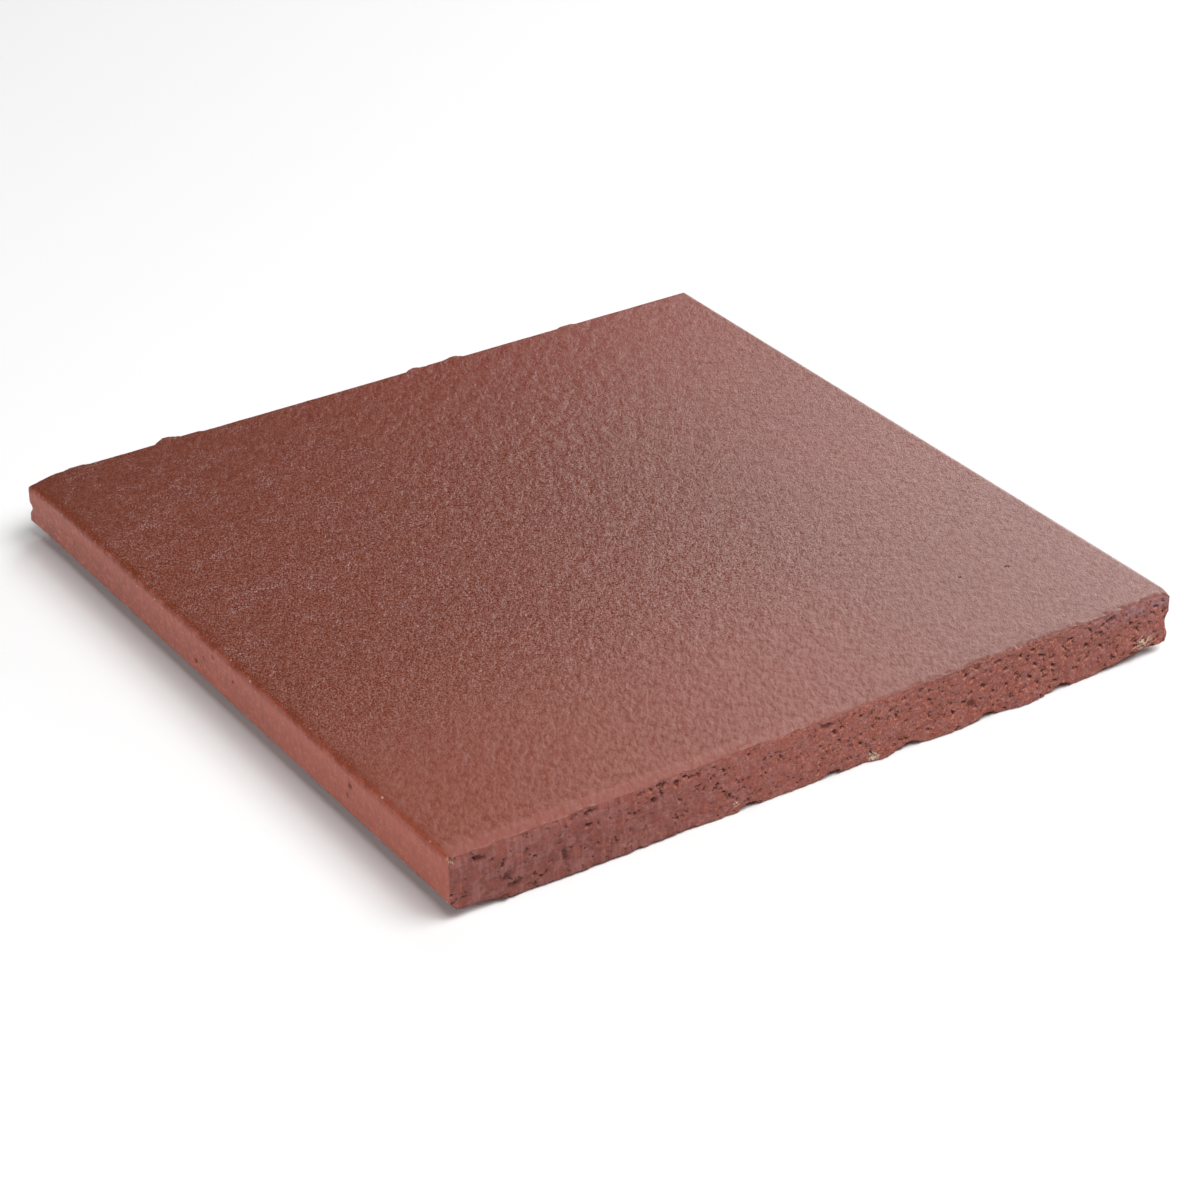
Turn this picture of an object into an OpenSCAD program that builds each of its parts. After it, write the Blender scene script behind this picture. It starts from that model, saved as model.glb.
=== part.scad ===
// Quarry tile: one piece of unglazed clay, extruded as a column, cut off by a wire and fired.
// The column ran along Y. Its two X sides are smooth from the die, and its two Y ends are
// the rough faces that the wire tore. The back, at the bottom, has keying grooves along Y.
// Millimetres. The origin is the middle of the bed that the lands of the back rest on.

/* [Body] */
// Width between the two smooth sides
tile_w = 150; // [100:1:250]
// Length along the clay column, between the two cut faces
tile_l = 150; // [100:1:250]
// Thickness from the lands of the back to the wearing face
tile_t = 12; // [10:0.5:25]

/* [Arrises] */
// Radius where the wearing face turns down into a smooth side
side_arris_r = 1.2; // [0.4:0.1:2]
// Radius where a smooth side turns under into the back
back_arris_r = 3; // [1:0.1:4]
// Radius of the long edges of the cut faces, top and bottom
cut_arris_r = 0.6; // [0.2:0.1:1]
// Radius of the four upright corners
corner_r = 1; // [0.3:0.1:2.5]

/* [Back] */
// Distance between the centres of neighbouring keying grooves
groove_pitch = 16.8; // [10:0.1:30]
// Width of one keying groove at the back
groove_w = 5; // [3:0.1:8]
// Depth of one keying groove
groove_d = 1.2; // [0.4:0.1:1.5]
// Width of the raised margin along each smooth side
margin_w = 14; // [10:0.5:18]
// Width of the slope between the lands and the flat of a raised margin
margin_slope_w = 8; // [2:0.5:9]
// Height of the raised margins above the bed
margin_rise = 1.5; // [0.5:0.1:2]

/* [Cut faces] */
// How far the largest crumb stands out from the far cut face
far_burr = 1.6; // [0.4:0.1:2.5]
// How far the largest crumb stands out from the near cut face
near_burr = 0.5; // [0.2:0.1:2.5]
// Width along the edge of the narrowest crumb
burr_w = 5; // [3:0.1:8]
// How far below the wearing face the middle of a crumb lies
burr_drop = 2; // [0:0.1:4]
// Height of the gap chipped out of the near right corner
chip_h = 5.4; // [2:0.1:7]
// Depth of that gap, along the diagonal of the tile
chip_d = 1.1; // [0.3:0.1:2]
// Level of the middle of that gap above the bed
chip_level = 5.6; // [4:0.1:8]
// Height of the smaller gap in the far left corner
nick_h = 2.4; // [1:0.1:4]
// Depth of the smaller gap, along the diagonal of the tile
nick_d = 0.4; // [0.2:0.1:1]
// Level of the middle of the smaller gap above the bed
nick_level = 6.4; // [4:0.1:8]

/* [Hidden] */
$fn = 96;

// How far a cutting shape runs past the surface that it cuts
over = 1;

// Radius of the circle that cuts a groove, or any other dip, of a width and a depth
function dip_r(width, depth) = (width * width / 4 + depth * depth) / (2 * depth);

groove_r = dip_r(groove_w, groove_d);

// Grooves on each side of the middle one that keep clear of the raised margins
land_half = tile_w / 2 - margin_w;
side_grooves = floor((land_half - groove_w / 2) / groove_pitch);

// Crumbs on each cut face: place along the edge, where 1 is the corner at +X, stand-out as a
// share of the largest, and width as a multiple of the narrowest
far_crumbs = [
    [-0.87, 0.3, 1], [-0.62, 1, 1], [-0.575, 0.65, 1.8],
    [0.13, 0.3, 1], [0.21, 0.4, 1.6], [0.6, 0.55, 1]
];
near_crumbs = [[-0.15, 0.6, 1.4], [0.32, 1, 1.8], [0.78, 0.8, 2]];

// Waste outside a round arris whose sharp corner would be at the origin, right and above it
module arris_waste(r) {
    translate([-r, -r])
        difference() {
            square(r + over);
            circle(r);
        }
}

// Rectangle standing on the X axis, with its two top and two bottom corners rounded
module rounded_slab(w, h, top_r, bottom_r) {
    difference() {
        translate([-w / 2, 0]) square([w, h]);
        for (side = [0, 1])
            mirror([side, 0]) {
                translate([w / 2, h]) arris_waste(top_r);
                translate([w / 2, 0]) mirror([0, 1]) arris_waste(bottom_r);
            }
    }
}

// Waste under the raised margin on the right, up to its flat and round into the side
module margin_waste() {
    edge = tile_w / 2;
    polygon([
        [land_half, 0],
        [land_half + margin_slope_w, margin_rise],
        [edge + over, margin_rise],
        [edge + over, -over],
        [land_half, -over]
    ]);
    translate([edge, margin_rise]) mirror([0, 1]) arris_waste(back_arris_r);
}

// Section of the clay column as it leaves the die, seen along Y
module column_section() {
    difference() {
        translate([-tile_w / 2, 0]) square([tile_w, tile_t]);
        for (side = [0, 1])
            mirror([side, 0]) {
                translate([tile_w / 2, tile_t]) arris_waste(side_arris_r);
                margin_waste();
            }
        for (i = [-side_grooves : side_grooves])
            translate([i * groove_pitch, groove_d - groove_r]) circle(groove_r);
    }
}

// What the wire leaves between two cuts: square ends, rubbed edges and upright corners
module cut_length() {
    intersection() {
        rotate([90, 0, 90])
            linear_extrude(tile_w + 2 * over, center = true)
                rounded_slab(tile_l, tile_t, cut_arris_r, cut_arris_r);
        translate([0, -tile_l / 2, -over])
            linear_extrude(tile_t + 2 * over)
                rounded_slab(tile_w, tile_l, corner_r, corner_r);
    }
}

// Low domes of dragged clay on the cut face at +Y, just under the wearing face
module crumbs(places, largest) {
    for (place = places) {
        stand = largest * place[1];
        r = dip_r(burr_w * place[2], stand);
        translate([place[0] * tile_w / 2, tile_l / 2 + stand - r, tile_t - burr_drop])
            sphere(r);
    }
}

// Ball that takes a gap of one height and depth out of the upright corner at +X and +Y
module corner_gap(height, depth, level) {
    r = dip_r(height, depth);
    out = (r - depth) / sqrt(2);
    translate([tile_w / 2 + out, tile_l / 2 + out, level]) sphere(r);
}

module tile() {
    color([0.55, 0.33, 0.28])
        difference() {
            intersection() {
                rotate([90, 0, 0])
                    linear_extrude(tile_l + 2 * (far_burr + over), center = true)
                        column_section();
                union() {
                    cut_length();
                    crumbs(far_crumbs, far_burr);
                    mirror([0, 1, 0]) crumbs(near_crumbs, near_burr);
                }
            }
            mirror([0, 1, 0]) corner_gap(chip_h, chip_d, chip_level);
            mirror([1, 0, 0]) corner_gap(nick_h, nick_d, nick_level);
        }
}

tile();
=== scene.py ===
import math

import bpy
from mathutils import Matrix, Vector


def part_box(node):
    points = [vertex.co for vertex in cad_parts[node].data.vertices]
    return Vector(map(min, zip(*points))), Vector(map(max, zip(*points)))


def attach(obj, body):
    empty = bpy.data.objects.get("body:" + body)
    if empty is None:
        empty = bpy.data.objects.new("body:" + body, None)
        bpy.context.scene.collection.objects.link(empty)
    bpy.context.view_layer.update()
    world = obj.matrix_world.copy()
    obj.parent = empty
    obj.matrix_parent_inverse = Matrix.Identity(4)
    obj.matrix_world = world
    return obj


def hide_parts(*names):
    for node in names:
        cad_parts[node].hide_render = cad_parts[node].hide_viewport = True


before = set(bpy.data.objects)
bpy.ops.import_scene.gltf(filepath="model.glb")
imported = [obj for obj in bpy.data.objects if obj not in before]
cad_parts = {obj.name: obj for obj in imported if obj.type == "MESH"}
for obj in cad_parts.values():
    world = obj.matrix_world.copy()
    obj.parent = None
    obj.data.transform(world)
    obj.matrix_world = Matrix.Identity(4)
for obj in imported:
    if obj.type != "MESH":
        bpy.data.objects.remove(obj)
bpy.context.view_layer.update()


# Camera. A long lens looks down on the tile from the front left, so that one cut face
# and one smooth side show below the wearing face.
camera_azimuth = math.radians(-33.75)
camera_elevation = math.radians(30.22)
camera_distance = 0.6088
lens_mm = 102.1
sensor_mm = 36
camera_aim = Vector((-0.00574, -0.01375, 0.0066))
camera_back = Vector((
    math.sin(camera_azimuth) * math.cos(camera_elevation),
    -math.cos(camera_azimuth) * math.cos(camera_elevation),
    math.sin(camera_elevation),
))
camera = bpy.data.objects.new("camera", bpy.data.cameras.new("camera"))
camera.data.lens = lens_mm
camera.data.sensor_width = sensor_mm
camera.location = camera_aim + camera_back * camera_distance
camera.rotation_euler = (-camera_back).to_track_quat("-Z", "Y").to_euler()
bpy.context.scene.collection.objects.link(camera)
bpy.context.scene.camera = camera


# The tile. One piece of clay, pushed through a die as a column along Y and cut off by a
# wire. Its two sides are smooth from the die, its two cut faces are torn and full of pits,
# and its wearing face has the fine leathery skin of pressed, unglazed, fired clay.
_, tile_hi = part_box("tile")
half_side = tile_hi.x
thickness = tile_hi.z
mm = 0.001

# How many cuts give the mesh its faces: close together over the height, across the column and
# in a band along each cut face, and wide apart between the bands. Blender makes 100 cuts at
# most in one go, so the width is cut twice.
cut_band = 0.0024
bay_cuts = 9
column_cuts = 55
band_cuts = 8
middle_cuts = 16
height_cuts = 44

bpy.ops.object.select_all(action="DESELECT")
bpy.ops.mesh.primitive_cube_add(
    size=1, location=(0, 0, thickness / 2), scale=(2 * half_side, 2 * half_side, thickness)
)
tile = bpy.context.object
tile.name = "fired_tile"
bpy.ops.object.transform_apply(location=True, rotation=True, scale=True)


def cut_across(piece, axis, cuts, low=-1.0, high=1.0):
    """Cut the stretch of the piece from low to high into equal slices across an axis."""
    bpy.ops.object.mode_set(mode="EDIT")
    bpy.ops.mesh.select_mode(type="EDGE")
    bpy.ops.mesh.select_all(action="DESELECT")
    bpy.ops.object.mode_set(mode="OBJECT")
    for edge in piece.data.edges:
        start, end = (piece.data.vertices[i].co for i in edge.vertices)
        run = end - start
        along = abs(run[axis]) > 0.9 * run.length
        edge.select = along and low < (start[axis] + end[axis]) / 2 < high
    bpy.ops.object.mode_set(mode="EDIT")
    bpy.ops.mesh.subdivide(number_cuts=cuts)
    bpy.ops.object.mode_set(mode="OBJECT")


bpy.ops.object.mode_set(mode="EDIT")
near_band_end = -half_side + cut_band
far_band_end = half_side - cut_band
for band_end in (near_band_end, far_band_end):
    bpy.ops.mesh.select_all(action="SELECT")
    bpy.ops.mesh.bisect(plane_co=(0, band_end, 0), plane_no=(0, 1, 0))
bpy.ops.object.mode_set(mode="OBJECT")
cut_across(tile, 1, band_cuts, high=near_band_end)
cut_across(tile, 1, band_cuts, low=far_band_end)
cut_across(tile, 1, middle_cuts, near_band_end, far_band_end)
cut_across(tile, 2, height_cuts)
cut_across(tile, 0, bay_cuts)
cut_across(tile, 0, column_cuts)

wrap = tile.modifiers.new("to the form of the column", "SHRINKWRAP")
wrap.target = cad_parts["tile"]
wrap.wrap_method = "NEAREST_SURFACEPOINT"
bpy.ops.object.modifier_apply(modifier=wrap.name)
bpy.ops.object.shade_smooth()


def node(graph, kind, inputs=None, **settings):
    """Add a node to a graph and fill its inputs with values or with wires."""
    made = graph.nodes.new(kind)
    for name, value in settings.items():
        setattr(made, name, value)
    for name, value in (inputs or {}).items():
        if isinstance(value, bpy.types.NodeSocket):
            graph.links.new(value, made.inputs[name])
        else:
            made.inputs[name].default_value = value
    return made


def calc(graph, operation, *values):
    """A sum on numbers."""
    inputs = dict(enumerate(values))
    return node(graph, "ShaderNodeMath", inputs, operation=operation).outputs[0]


def move(graph, operation, *values):
    """A sum on places."""
    inputs = dict(enumerate(values))
    return node(graph, "ShaderNodeVectorMath", inputs, operation=operation).outputs[0]


def all_of(graph, *masks):
    """Where several masks, each from 0 to 1, hold at once."""
    made = masks[0]
    for other in masks[1:]:
        made = calc(graph, "MULTIPLY", made, other)
    return made


def fade(graph, value, start, end, low=0.0, high=1.0):
    """Low up to start, high from end, and a soft change between them."""
    inputs = {"Value": value, "From Min": start, "From Max": end, "To Min": low, "To Max": high}
    return node(graph, "ShaderNodeMapRange", inputs, interpolation_type="SMOOTHSTEP").outputs[0]


def scaled(graph, place, stretch, shift):
    """A place in mm times so much a mm on each axis, moved so that no two patterns agree."""
    return move(graph, "MULTIPLY_ADD", place, stretch, (shift, 1.7 * shift, 2.3 * shift))


def noise(graph, place, stretch, shift, detail=2.0, roughness=0.5):
    """Clouds from 0 to 1, about 0.5 in the middle."""
    inputs = {"Vector": scaled(graph, place, stretch, shift), "Scale": 1.0, "Detail": detail,
              "Roughness": roughness}
    return node(graph, "ShaderNodeTexNoise", inputs).outputs[0]


def spots(graph, place, stretch, shift, radius, edge):
    """Round spots, one to a cell and as wide as radius cells, that are 1 inside and 0 outside."""
    inputs = {"Vector": scaled(graph, place, stretch, shift), "Scale": 1.0}
    distance = node(graph, "ShaderNodeTexVoronoi", inputs).outputs["Distance"]
    inner = calc(graph, "MULTIPLY", radius, edge)
    return fade(graph, distance, radius, inner)


def warped(graph, place, rate, amount):
    """A place pushed about by clouds, so that what is drawn there has a ragged outline."""
    inputs = {"Vector": place, "Scale": rate, "Detail": 2.0}
    push = node(graph, "ShaderNodeTexNoise", inputs).outputs["Color"]
    back = -amount / 2
    push = move(graph, "MULTIPLY_ADD", push, (amount, amount, amount), (back, back, back))
    return move(graph, "ADD", place, push)


def clots(graph, place):
    """Small ragged clots, in clay that is rich in grog."""
    return noise(graph, place, (0.75, 0.75, 0.95), 5.3, 3.0, 0.7)


def tearing(graph, place):
    """The wire's rough tearing, where chips come out of the arris as well."""
    return noise(graph, place, (0.6, 0.6, 0.75), 21.1, 3.0, 0.6)


def torn_face(graph, place):
    """What the wire tears: how low a clot has to be to be a pit, the pits and the cracks."""
    x, _, z = node(graph, "ShaderNodeSeparateXYZ", {0: place}).outputs
    rich = noise(graph, place, (0.16, 0.16, 0.25), 3.1, 1.0)
    rich = calc(graph, "MULTIPLY", rich, 0.6)
    rich = calc(graph, "MULTIPLY_ADD", x, 0.0020, rich)
    rich = calc(graph, "MULTIPLY_ADD", z, 0.013, rich)
    level = fade(graph, rich, 0.15, 0.60, 0.34, 0.415)
    clot = clots(graph, place)
    pits = fade(graph, clot, level, calc(graph, "SUBTRACT", level, 0.045))
    line = calc(graph, "SUBTRACT", noise(graph, place, (0.20, 0.20, 0.60), 12.9, 2.0, 0.6), 0.5)
    line = fade(graph, calc(graph, "ABSOLUTE", line), 0.016, 0.004)
    cracks = calc(graph, "MULTIPLY", line, fade(graph, clot, 0.48, 0.42))
    return level, pits, cracks


def mark(graph, ragged, at, size):
    """A spot round a known place, which dies out at three quarters of its size in mm."""
    edge, core = 0.75, 0.15
    reach = move(graph, "DIVIDE", move(graph, "SUBTRACT", ragged, at), size)
    reach = node(graph, "ShaderNodeVectorMath", {0: reach}, operation="LENGTH").outputs["Value"]
    return fade(graph, reach, edge, core)


def gouges(graph, ragged):
    """The large hollows of the near cut face: place along it, level, length and height."""
    made = 0.0
    for along, up, length, tall in (
        (-53.2, 4.5, 1.3, 3.6), (-62.9, 2.4, 2.4, 1.8), (-64.3, 4.3, 1.7, 1.9),
        (-48.0, 10.7, 2.2, 1.0), (-36.0, 8.8, 1.4, 1.3), (-69.3, 9.8, 3.0, 1.0),
        (-1.1, 10.4, 3.0, 1.1), (60.8, 11.0, 2.6, 1.0), (30.0, 4.2, 1.8, 1.8),
    ):
        hollow = mark(graph, ragged, (along, -75, up), (length, 3, tall))
        made = calc(graph, "MAXIMUM", made, hollow)
    return made


# Relief that the mesh can carry, in mm. The place of each spot and the kind of face that it
# is on are kept with the mesh, so that the paint below finds the same pits and gouges.
away, facing_it = 0.35, 0.85
pit_depth, gouge_depth, crack_depth = 0.5, 0.7, 0.25
relief = bpy.data.node_groups.new("clay_relief", "GeometryNodeTree")
relief.interface.new_socket("Geometry", in_out="INPUT", socket_type="NodeSocketGeometry")
relief.interface.new_socket("Geometry", in_out="OUTPUT", socket_type="NodeSocketGeometry")
form = node(relief, "NodeGroupInput").outputs[0]
position = node(relief, "GeometryNodeInputPosition").outputs[0]
normal = node(relief, "GeometryNodeInputNormal").outputs[0]
clay_place = node(
    relief, "ShaderNodeVectorMath", {0: position, "Scale": 1 / mm}, operation="SCALE"
).outputs[0]
x, y, z = node(relief, "ShaderNodeSeparateXYZ", {0: clay_place}).outputs
to_x, to_y, to_z = node(relief, "ShaderNodeSeparateXYZ", {0: normal}).outputs
cut_face = fade(relief, calc(relief, "ABSOLUTE", to_y), away, facing_it)
die_face = fade(relief, calc(relief, "ABSOLUTE", to_x), away, facing_it)
top_face = fade(relief, to_z, away, facing_it)
for name, kind, value in (
    ("clay_place", "FLOAT_VECTOR", clay_place), ("cut_face", "FLOAT", cut_face),
    ("die_face", "FLOAT", die_face), ("top_face", "FLOAT", top_face),
):
    inputs = {"Geometry": form, "Name": name, "Value": value}
    form = node(relief, "GeometryNodeStoreNamedAttribute", inputs, data_type=kind).outputs[0]

_, pits, cracks = torn_face(relief, clay_place)
ragged = warped(relief, clay_place, 1.1, 1.6)
torn = tearing(relief, clay_place)
tears = calc(relief, "SUBTRACT", torn, 0.5)
waves = calc(relief, "SUBTRACT", noise(relief, clay_place, (0.13, 0.13, 0.13), 23.7, 1.0), 0.5)
tear_depth = fade(relief, z, 10.6, 11.6, 0.9, 0.25)
rise = calc(relief, "MULTIPLY_ADD", waves, 0.8, calc(relief, "MULTIPLY", tears, tear_depth))
pitting = calc(relief, "MULTIPLY", pits, -pit_depth)
rise = calc(relief, "MULTIPLY_ADD", pitting, tear_depth, rise)
rise = calc(relief, "MULTIPLY_ADD", gouges(relief, ragged), -gouge_depth, rise)
rise = calc(relief, "MULTIPLY_ADD", cracks, -crack_depth, rise)
rise = calc(relief, "MULTIPLY", calc(relief, "SUBTRACT", rise, 0.05), cut_face)

# What the wire did to the arrises that it left: lumps of dragged clay, and at the near left a
# top arris that is rubbed down and keying grooves whose ends are smeared shut. Lift is how far
# a spot goes up, in mm.
arris = all_of(relief, fade(relief, y, -73.2, -74.6), fade(relief, z, 10.4, 11.6))
lumps = calc(relief, "SUBTRACT", noise(relief, clay_place, (0.26, 0.26, 0.26), 61.0, 3.0), 0.5)
lift = all_of(relief, lumps, arris, fade(relief, x, 0, -40, 0.5, 1.3))
near_left = all_of(relief, fade(relief, x, -18, -36), fade(relief, y, -71.8, -75))
rubbed = all_of(relief, near_left, fade(relief, z, 9.4, 12))
rise = calc(relief, "MULTIPLY_ADD", rubbed, -0.5, rise)
smear = all_of(relief, near_left, fade(relief, z, 1.7, 1.25), fade(relief, x, -62, -58))
lift = calc(relief, "MULTIPLY_ADD", calc(relief, "SUBTRACT", 0.5, z), smear, lift)

# What wear did to the corners: the foot of both near corners is gone, the top of the near
# right one is blunt, and the far left one is worn at its top and its foot, leans out and has
# a gap in it. Lean is how far a spot goes to the right, in mm.
foot = all_of(relief, fade(relief, y, -70, -74), fade(relief, z, 3.2, 0.8))
right_foot = all_of(relief, fade(relief, x, 57, 61), fade(relief, x, 75, 70))
left_foot = fade(relief, x, -58, -68, 0.0, 0.5)
foot = all_of(relief, foot, calc(relief, "ADD", right_foot, left_foot))
lift = calc(relief, "MULTIPLY_ADD", foot, 0.75, lift)
blunt = all_of(relief, fade(relief, x, 72, 75.5), fade(relief, y, -72, -75.5),
               fade(relief, z, 9, 12))
lift = calc(relief, "MULTIPLY_ADD", blunt, -1.1, lift)
far_corner = all_of(relief, fade(relief, x, -69, -75.5), fade(relief, y, 69, 75.5))
far_top = all_of(relief, far_corner, fade(relief, z, 8, 12))
lift = calc(relief, "MULTIPLY_ADD", far_top, -1.2, lift)
far_foot = all_of(relief, far_corner, fade(relief, z, 4.5, 1.5))
lift = calc(relief, "MULTIPLY_ADD", far_foot, 0.9, lift)
gap = mark(relief, ragged, (-75, 75, 6.5), (3, 3, 1.9))
lean = calc(relief, "MULTIPLY_ADD", far_corner, -0.6, calc(relief, "MULTIPLY", gap, 0.5))

# Small chips out of the near top arris, low burrs between the keying grooves, and the tips of
# three burrs along the far top arris. Back is how far a spot goes backwards, in mm.
chips = all_of(relief, fade(relief, torn, 0.46, 0.64), fade(relief, x, 5, 35),
               fade(relief, y, -73.7, -74.8), fade(relief, z, 9.5, 11.5))
lift = calc(relief, "MULTIPLY_ADD", chips, -0.25, lift)
burrs = 0.0
for along, length in ((10.8, 5.0), (25.5, 13.0), (42.5, 8.0)):
    burr = mark(relief, ragged, (along, -75, 0.8), (length, 4, 4))
    burrs = calc(relief, "MAXIMUM", burrs, burr)
back = calc(relief, "MULTIPLY", burrs, -0.7)
far_burr = mark(relief, ragged, (-45.7, 76, 11.5), (4.0, 4, 4))
back = calc(relief, "MULTIPLY_ADD", far_burr, 0.9, back)
lift = calc(relief, "MULTIPLY_ADD", far_burr, 0.25, lift)
small_burrs = calc(relief, "MAXIMUM", mark(relief, ragged, (8.8, 75.5, 11.3), (3, 3, 3)),
                   mark(relief, ragged, (18.2, 75.5, 11.3), (4, 3, 3)))
back = calc(relief, "MULTIPLY_ADD", small_burrs, 0.5, back)
lift = calc(relief, "MULTIPLY_ADD", small_burrs, 0.1, lift)

inputs = {0: normal, "Scale": rise}
shift = node(relief, "ShaderNodeVectorMath", inputs, operation="SCALE").outputs[0]
wear = node(relief, "ShaderNodeCombineXYZ", {"X": lean, "Y": back, "Z": lift}).outputs[0]
inputs = {0: move(relief, "ADD", shift, wear), "Scale": mm}
shift = node(relief, "ShaderNodeVectorMath", inputs, operation="SCALE").outputs[0]
form = node(relief, "GeometryNodeSetPosition", {"Geometry": form, "Offset": shift}).outputs[0]
node(relief, "NodeGroupOutput", {0: form})

carve = tile.modifiers.new("relief of the clay", "NODES")
carve.node_group = relief
bpy.ops.object.modifier_apply(modifier=carve.name)
bpy.data.node_groups.remove(relief)

clay = bpy.data.materials.new("fired_clay")
clay.use_nodes = True
paint = clay.node_tree
shader = paint.nodes["Principled BSDF"]


def part(name):
    """How far a spot belongs to one kind of face, from 0 to 1."""
    return node(paint, "ShaderNodeAttribute", attribute_name=name).outputs["Fac"]


def both(*masks):
    """Where several masks of the paint hold at once."""
    return all_of(paint, *masks)


def coat(under, over, factor, strength=1.0):
    """A colour laid over another where the factor says, as far as its strength."""
    factor_in, under_in, over_in, colour_out = 0, 6, 7, 2
    factor = calc(paint, "MULTIPLY", factor, strength)
    under = under if isinstance(under, bpy.types.NodeSocket) else (*under, 1)
    inputs = {factor_in: factor, under_in: under, over_in: (*over, 1)}
    return node(paint, "ShaderNodeMix", inputs, data_type="RGBA").outputs[colour_out]


place = node(paint, "ShaderNodeAttribute", attribute_name="clay_place").outputs["Vector"]
on_cut = part("cut_face")
on_side = part("die_face")
on_top = part("top_face")
x, y, z = node(paint, "ShaderNodeSeparateXYZ", {0: place}).outputs
ragged = warped(paint, place, 1.1, 1.6)

# Body colour: a fired red brown, in clouds. The wearing face is browner at the far left
# corner, lighter along the near edge, and redder to the right and along the far edge.
colour = coat((0.165, 0.044, 0.029), (0.205, 0.056, 0.037),
              noise(paint, place, (0.03, 0.03, 0.1), 31.0, 3.0))
clouds = noise(paint, place, (0.14, 0.14, 0.14), 35.0, 2.0)
colour = coat(colour, (0.14, 0.033, 0.020), fade(paint, clouds, 0.56, 0.34), 0.3)
far_left = both(fade(paint, y, 30, 75), fade(paint, x, -30, -75))
colour = coat(colour, (0.145, 0.043, 0.027), both(far_left, on_top), 0.5)
near_band = both(fade(paint, y, -8, -58), fade(paint, x, 60, -10), on_top)
colour = coat(colour, (0.27, 0.079, 0.054), near_band, 0.8)
far_band = both(fade(paint, y, 15, 78), fade(paint, x, -50, 40), on_top)
colour = coat(colour, (0.245, 0.036, 0.018), far_band, 0.6)
right_part = both(fade(paint, x, 20, 65), fade(paint, y, -45, 0, 0.4, 1.0), on_top)
colour = coat(colour, (0.29, 0.062, 0.040), right_part, 0.4)

# Skin of the wearing face: leathery and drawn out askew to the column, with more sheen on
# the crests of its wrinkles than in the dimples, and dusted with fine grains where it is
# worn least. The dimples are painted darker and the crests lighter: painted shade and sheen
# of the wrinkles. The grains are partly their own colour and partly painted glints, and the
# pale specks of dust are painted glints. It has pinholes to the right, painted dark as
# painted shade in them, pale veins and scuffs to the far left, and a painted highlight along
# the near left arris.
drawn = node(paint, "ShaderNodeVectorRotate", {"Vector": place, "Angle": math.radians(30)},
             rotation_type="Z_AXIS").outputs[0]
leather = noise(paint, drawn, (1.1, 0.55, 0.8), 41.0, 2.0, fade(paint, x, -10, 55, 0.6, 0.95))
swell = noise(paint, drawn, (0.36, 0.28, 0.3), 42.0, 2.0)
grain_and_glints = noise(paint, drawn, (3.4, 1.9, 2.6), 33.0, 2.0, 0.75)
fresh = both(on_top, fade(paint, x, 5, 60, 1.0, 0.5), fade(paint, y, -60, -22, 0.1, 1.0),
             fade(paint, y, 30, 70, 1.0, 0.5))
# Painted shade in the dimples and painted sheen on the crests of the wrinkles, over the real bump
# and sheen.
colour = coat(colour, (0.125, 0.024, 0.012), both(fade(paint, leather, 0.56, 0.34), on_top), 0.31)
colour = coat(colour, (0.25, 0.072, 0.051), both(fade(paint, leather, 0.46, 0.66), on_top), 0.31)
# The fine grains: partly their own colour, partly painted glints.
colour = coat(colour, (0.095, 0.018, 0.008), both(fade(paint, grain_and_glints, 0.52, 0.39), fresh), 0.7)
colour = coat(colour, (0.36, 0.140, 0.100), both(fade(paint, grain_and_glints, 0.52, 0.65), fresh), 0.7)
dust_and_glints = noise(paint, place, (3.0, 3.0, 3.0), 46.0, 1.0)
# Orange specks of dust in their own colour, and pale specks that are painted glints.
colour = coat(colour, (0.42, 0.110, 0.050), both(fade(paint, dust_and_glints, 0.36, 0.26), fresh), 0.6)
colour = coat(colour, (0.52, 0.340, 0.330), both(fade(paint, dust_and_glints, 0.65, 0.75), fresh), 0.5)
# Pinholes painted dark: painted shade in them.
pinholes = both(fade(paint, dust_and_glints, 0.33, 0.26), fade(paint, leather, 0.56, 0.46),
                fade(paint, x, 0, 40), on_top)
colour = coat(colour, (0.13, 0.026, 0.016), pinholes, 0.8)
veins = calc(paint, "SUBTRACT", noise(paint, place, (0.09, 0.09, 0.09), 34.0, 3.0), 0.5)
veins = fade(paint, calc(paint, "ABSOLUTE", veins), 0.04, 0.0)
veins = both(veins, fade(paint, grain_and_glints, 0.54, 0.64), fade(paint, x, 10, -30), on_top,
             fade(paint, y, -30, 0))
colour = coat(colour, (0.45, 0.33, 0.34), veins, 0.45)
scuffs = fade(paint, noise(paint, place, (0.20, 0.60, 0.5), 48.0, 3.0, 0.65), 0.56, 0.68)
scuffs = both(scuffs, fade(paint, grain_and_glints, 0.47, 0.60), fade(paint, x, -25, -55), on_top,
              fade(paint, y, -15, 10))
colour = coat(colour, (0.45, 0.33, 0.34), scuffs, 0.35)
# A painted highlight along the rounded near left arris.
near_arris_highlight = both(fade(paint, y, -71.2, -72.5), fade(paint, x, 15, -30), fade(paint, z, 11.4, 11.9))
colour = coat(colour, (0.285, 0.092, 0.070), near_arris_highlight, 0.9)

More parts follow.
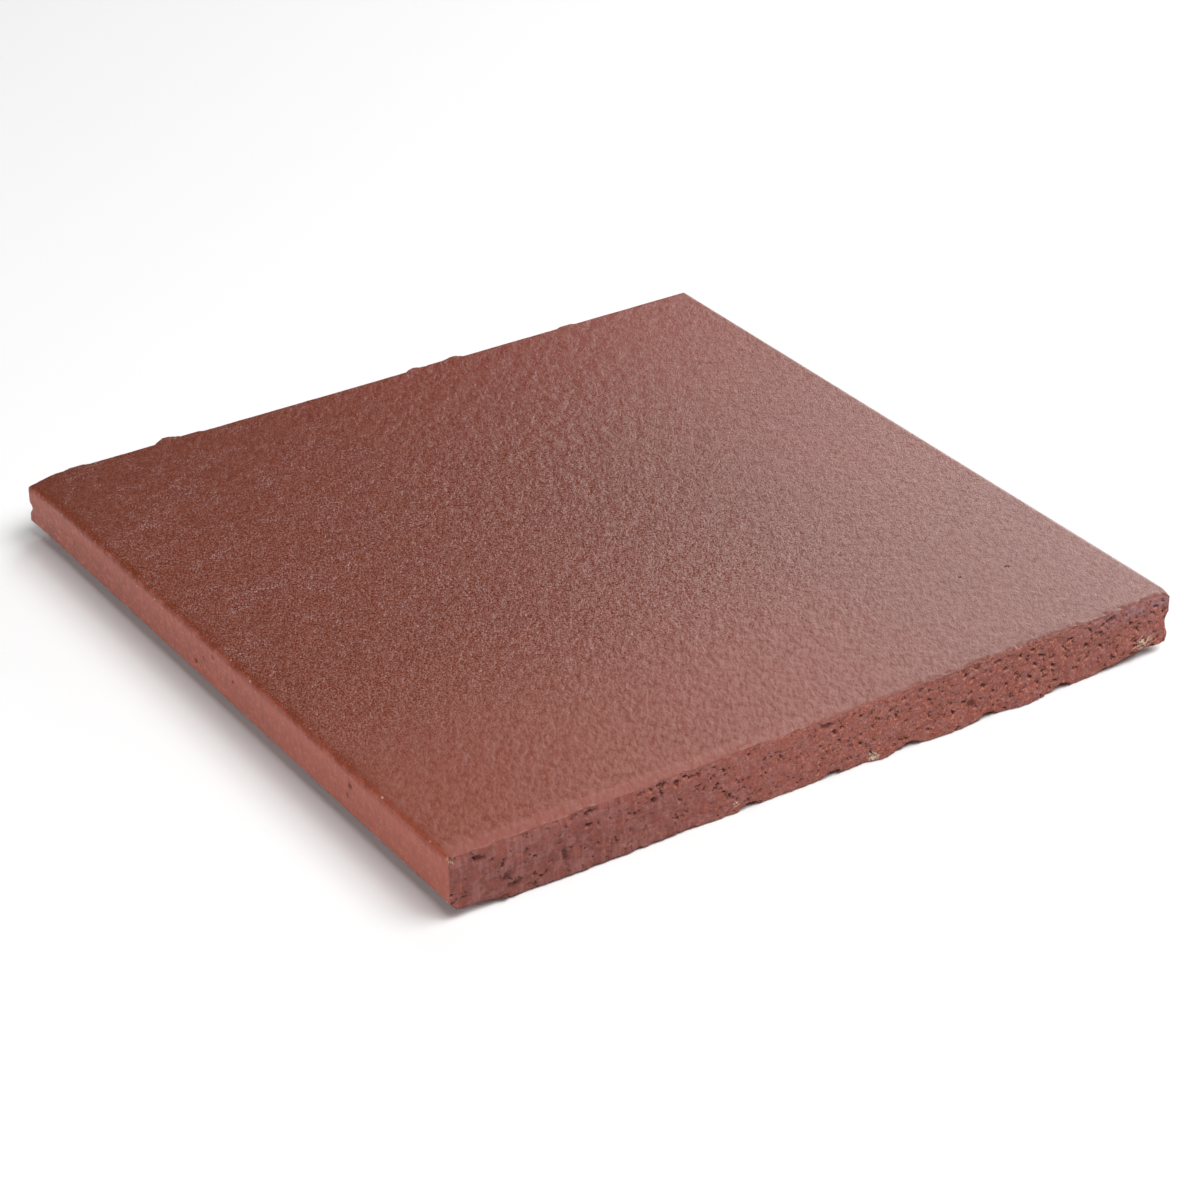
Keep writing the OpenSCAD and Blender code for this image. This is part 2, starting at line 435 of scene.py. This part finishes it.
# Smooth sides: redder, mottled, with faint upright streaks, a few small holes painted dark as
# painted shade in them, and a paler band near the top. Along the arris a darker, more orange
# band, partly its own colour and partly painted shade where the rounded arris turns away from
# the sheen, with pale specks below it.
colour = coat(colour, (0.327, 0.066, 0.033), on_side, 0.9)
streaks = noise(paint, place, (1.1, 1.1, 0.16), 37.0, 3.0, 0.6)
mottle = noise(paint, place, (0.85, 0.85, 0.9), 36.0, 3.0, 0.75)
colour = coat(colour, (0.21, 0.045, 0.024), both(fade(paint, streaks, 0.48, 0.36), on_side), 1.0)
colour = coat(colour, (0.23, 0.047, 0.025), both(fade(paint, mottle, 0.49, 0.36), on_side), 0.85)
colour = coat(colour, (0.43, 0.125, 0.085), both(fade(paint, mottle, 0.51, 0.65), on_side), 0.8)
colour = coat(colour, (0.19, 0.038, 0.020), both(fade(paint, grain_and_glints, 0.48, 0.38), on_side), 1.0)
pale = both(on_side, fade(paint, z, 7.6, 9.4), fade(paint, z, 10.9, 10.2))
colour = coat(colour, (0.40, 0.100, 0.068), pale, 0.25)
colour = coat(colour, (0.38, 0.073, 0.038), both(on_side, fade(paint, y, 50, -60)), 0.35)
# The rim: darker and more orange, partly its own colour and partly painted shade where the
# rounded arris turns away from the sheen.
rim = both(fade(paint, x, -71.2, -74.0), fade(paint, z, 10.3, 11.8),
           fade(paint, leather, 0.30, 0.52), fade(paint, mottle, 0.36, 0.52, 0.35, 1.0),
           fade(paint, y, -68, -35, 0.35, 1.0), fade(paint, clouds, 0.56, 0.44, 0.35, 1.0))
colour = coat(colour, (0.15, 0.032, 0.013), rim, 0.75)
arris = both(fade(paint, x, -73.6, -74.5), fade(paint, z, 9.3, 10.6))
specks = spots(paint, place, (0.45, 0.30, 0.45), 39.0, 0.13, 0.3)
colour = coat(colour, (0.62, 0.40, 0.33), both(specks, arris), 0.7)
holes = spots(paint, ragged, (0.16, 0.16, 0.24), 38.0, 0.07, 0.3)
for along, up, length, tall in (
    (-44.4, 9.0, 0.9, 1.0), (-43.4, 6.7, 0.9, 1.2), (9.0, 5.8, 0.9, 0.9), (6.2, 7.9, 0.8, 0.7),
    (-4.5, 8.4, 0.7, 0.7),
):
    spot = mark(paint, ragged, (-75, along, up), (3, length, tall))
    holes = calc(paint, "MAXIMUM", holes, spot)
holes = both(holes, on_side)
# The holes are painted dark: painted shade in them.
colour = coat(colour, (0.10, 0.024, 0.015), holes, 0.85)

# Torn cut faces: patches of rusty and of mauve clay; crumbs, partly in their own colour and
# partly painted highlight and shade on their relief; pits and cracks painted dark as painted
# shade in them, with a painted highlight on their lower lips; and, where the wire dragged
# most, soft upright smears.
level, pits, cracks = torn_face(paint, place)
dragged = fade(paint, x, 0, -60)
colour = coat(colour, (0.310, 0.088, 0.066), on_cut)
colour = coat(colour, (0.193, 0.050, 0.040), both(dragged, on_cut), 0.85)
foot = both(fade(paint, z, 6.5, 0.5), fade(paint, x, 20, 60, 1.0, 0.3))
colour = coat(colour, (0.24, 0.060, 0.042), both(foot, on_cut), 0.6)
shade = both(fade(paint, x, -20, -45), fade(paint, z, 9, 6))
colour = coat(colour, (0.145, 0.034, 0.026), both(shade, on_cut), 0.4)
head = both(fade(paint, z, 4, 10), fade(paint, x, 5, 35))
colour = coat(colour, (0.21, 0.058, 0.048), both(head, on_cut), 0.4)
patches = noise(paint, place, (0.42, 0.42, 0.5), 51.0, 2.0, 0.6)
colour = coat(colour, (0.32, 0.125, 0.108), both(fade(paint, patches, 0.54, 0.40), on_cut), 0.5)
colour = coat(colour, (0.34, 0.080, 0.045), both(fade(paint, patches, 0.50, 0.66), on_cut), 0.35)
smears = noise(paint, place, (1.2, 1.2, 0.12), 49.0, 2.0, 0.6)
colour = coat(colour, (0.19, 0.048, 0.038),
              both(fade(paint, smears, 0.50, 0.36), dragged, on_cut), 0.5)
colour = coat(colour, (0.36, 0.130, 0.115),
              both(fade(paint, smears, 0.52, 0.66), dragged, on_cut), 0.4)
loose = fade(paint, x, -70, 20, 0.25, 1.0)
# Crumbs: partly their own colour, partly painted highlight and shade on their relief.
crumb = noise(paint, place, (1.5, 1.5, 1.7), 43.0, 2.0, 0.7)
colour = coat(colour, (0.19, 0.050, 0.038),
              both(fade(paint, crumb, 0.50, 0.34), loose, on_cut), 0.5)
colour = coat(colour, (0.48, 0.170, 0.120),
              both(fade(paint, crumb, 0.52, 0.68), loose, on_cut), 0.4)
sand = noise(paint, place, (2.4, 2.4, 2.6), 45.0, 1.0)
colour = coat(colour, (0.58, 0.26, 0.17),
              both(fade(paint, sand, 0.63, 0.68), loose, on_cut), 0.5)
colour = coat(colour, (0.13, 0.034, 0.026),
              both(fade(paint, sand, 0.37, 0.32), loose, on_cut), 0.6)
mauve = both(fade(paint, x, 48, 62), fade(paint, z, 8.2, 10.5),
             fade(paint, patches, 0.42, 0.52), on_cut)
colour = coat(colour, (0.36, 0.19, 0.21), mauve, 0.6)
# A painted highlight on the lower lip of each pit, where it would catch the light from above.
above = move(paint, "ADD", place, (0.2, 0, 0.5))
pit_ledge_highlight = fade(paint, clots(paint, above), level, calc(paint, "SUBTRACT", level, 0.03))
colour = coat(colour, (0.53, 0.19, 0.12), both(pit_ledge_highlight, on_cut, loose), 0.8)
# Pits and cracks painted dark: painted shade in them, over their real depth.
hollows = calc(paint, "MAXIMUM", pits, calc(paint, "MULTIPLY", cracks, 0.6))
hollows = both(hollows, on_cut)
colour = coat(colour, (0.12, 0.030, 0.022), hollows, 0.8)

# Single marks: the large hollows and the lumps of cream clay on the near cut face, the chips
# along its top arris, and two nicks in the wearing face. The hollows and the nicks are
# painted dark as painted shade in them.
# Painted shade in the large hollows, over their real depth.
gouged = both(gouges(paint, ragged), on_cut)
colour = coat(colour, (0.13, 0.036, 0.027), gouged, 0.65)
cream = (0.66, 0.50, 0.37)
for along, up, size in (
    (68.9, 3.1, 3.4), (-19.9, 1.9, 1.0), (8.8, 1.1, 1.8), (-74.4, 11.3, 1.4),
):
    lump = mark(paint, ragged, (along, -75, up), (size, 3, size))
    colour = coat(colour, cream, both(lump, fade(paint, sand, 0.47, 0.53)), 0.9)
chipped = both(fade(paint, tearing(paint, place), 0.47, 0.64), fade(paint, x, 5, 35),
               fade(paint, y, -73.4, -74.4), fade(paint, z, 10, 11.5))
colour = coat(colour, (0.20, 0.052, 0.038), chipped, 0.5)
# Painted shade in the nicks.
nicks = calc(paint, "MAXIMUM", mark(paint, ragged, (56.1, -52.1, 12), (1.2, 0.55, 3)),
             mark(paint, ragged, (46.5, -50.4, 12), (1.0, 0.45, 3)))
colour = coat(colour, (0.13, 0.028, 0.017), nicks, 0.85)
paint.links.new(colour, shader.inputs["Base Color"])

# Relief too fine for the mesh, in mm: wrinkles, grain and long swells on the wearing face,
# crumbs and pits on the cut faces, a faint unevenness on the sides, and the holes and nicks.
height = both(leather, fade(paint, on_top, 0, 1, 0.03, 0.12), fade(paint, x, 0, 60, 1.0, 0.6))
height = calc(paint, "MULTIPLY_ADD", grain_and_glints, fade(paint, x, 0, 60, 0.01, 0.045), height)
swell_depth = both(fade(paint, x, 10, 70, 0.22, 0.08), fade(paint, y, -60, 0, 0.75, 1.0))
swell_depth = calc(paint, "ADD", swell_depth, fade(paint, y, 0, 60, 0.0, 0.10))
height = calc(paint, "MULTIPLY_ADD", both(swell, on_top), swell_depth, height)
height = calc(paint, "MULTIPLY_ADD", both(crumb, loose, on_cut), 0.35, height)
height = calc(paint, "MULTIPLY_ADD", both(mottle, on_side), 0.12, height)
height = calc(paint, "MULTIPLY_ADD", calc(paint, "MAXIMUM", holes, nicks), -0.15, height)
height = calc(paint, "MULTIPLY_ADD", hollows, -0.25, height)
bump = node(paint, "ShaderNodeBump", {"Height": height, "Distance": mm})
paint.links.new(bump.outputs["Normal"], shader.inputs["Normal"])

# Roughness: satin on the wearing face, duller on the sides and the rim, dull where torn.
satin, torn_dull, side_more, rim_more = 0.37, 0.8, 0.12, 0.2
roughness = fade(paint, on_cut, 0, 1, satin, torn_dull)
roughness = calc(paint, "MULTIPLY_ADD", on_side, side_more, roughness)
roughness = calc(paint, "MULTIPLY_ADD", rim, rim_more, roughness)
paint.links.new(roughness, shader.inputs["Roughness"])

# Sheen: on the wearing face, most on the crests of the wrinkles and on the grains, more to
# the right and less at the near left. The other faces have the plain level, and the rim,
# holes, nicks and pinholes are dull.
plain_sheen = 0.5
crests = calc(paint, "SUBTRACT", leather, 0.5)
sheen = both(crests, fade(paint, y, -70, -20, 0.9, 1.3))
grains = both(calc(paint, "SUBTRACT", grain_and_glints, 0.5), fresh)
sheen = calc(paint, "MULTIPLY_ADD", grains, 2.8, sheen)
sheen = calc(paint, "ADD", sheen, fade(paint, x, -50, 50, 0.33, 0.5))
near_left = both(fade(paint, x, -30, -72), fade(paint, y, -25, -70))
sheen = calc(paint, "MULTIPLY_ADD", near_left, -0.12, sheen)
sheen = both(sheen, fade(paint, on_top, 0, 1))
sheen = calc(paint, "MULTIPLY_ADD", fade(paint, on_top, 1, 0), plain_sheen, sheen)
dull = calc(paint, "MAXIMUM", rim, holes)
dull = calc(paint, "MAXIMUM", dull, calc(paint, "MAXIMUM", nicks, pinholes))
sheen = both(sheen, fade(paint, dull, 0, 1, 1.0, 0.3))
paint.links.new(sheen, shader.inputs["Specular IOR Level"])

tile.data.materials.append(clay)
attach(tile, "root")
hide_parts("tile")


# Studio. A plain pale floor under plain soft light: most of it from high up at the front and
# the right, some from low down at the left, and three faint lights from the right behind the
# tile, which lie as a sheen on the satin clay.
bpy.ops.object.select_all(action="DESELECT")
bpy.ops.mesh.primitive_plane_add(size=8)
floor = bpy.context.object
floor.name = "floor"
floor_paint = bpy.data.materials.new("floor_paint")
floor_paint.use_nodes = True
floor_shader = floor_paint.node_tree.nodes["Principled BSDF"]
floor_shader.inputs["Base Color"].default_value = (0.95, 0.95, 0.95, 1)
floor_shader.inputs["Roughness"].default_value = 0.9
floor.data.materials.append(floor_paint)


def softbox(name, azimuth, elevation, distance, size, power):
    """A square area light turned towards the tile. Azimuth 0 is behind it, 90 to its right."""
    a, e = math.radians(azimuth), math.radians(elevation)
    out = Vector((math.sin(a) * math.cos(e), math.cos(a) * math.cos(e), math.sin(e)))
    light = bpy.data.objects.new(name, bpy.data.lights.new(name, "AREA"))
    light.data.shape = "SQUARE"
    light.data.size = size
    light.data.energy = power
    light.location = out * distance
    light.rotation_euler = (-out).to_track_quat("-Z", "Y").to_euler()
    bpy.context.scene.collection.objects.link(light)


softbox("high_softbox", 125, 58, 1.3, 0.8, 10.5)
softbox("front_softbox", 180, 60, 1.3, 0.8, 8.6)
softbox("left_softbox", -98, 16, 1.3, 0.7, 7.6)
softbox("low_softbox", 60, 12, 1.3, 0.5, 3.3)
softbox("back_softbox", 48, 20, 1.3, 0.5, 1.7)
softbox("upper_back_softbox", 48, 42, 1.3, 0.5, 1.7)

world = bpy.data.worlds.new("studio")
world.use_nodes = True
sky = world.node_tree.nodes["Background"]
sky.inputs["Color"].default_value = (1, 1, 1, 1)
sky.inputs["Strength"].default_value = 0.02
bpy.context.scene.world = world
bpy.context.scene.view_settings.view_transform = "Standard"
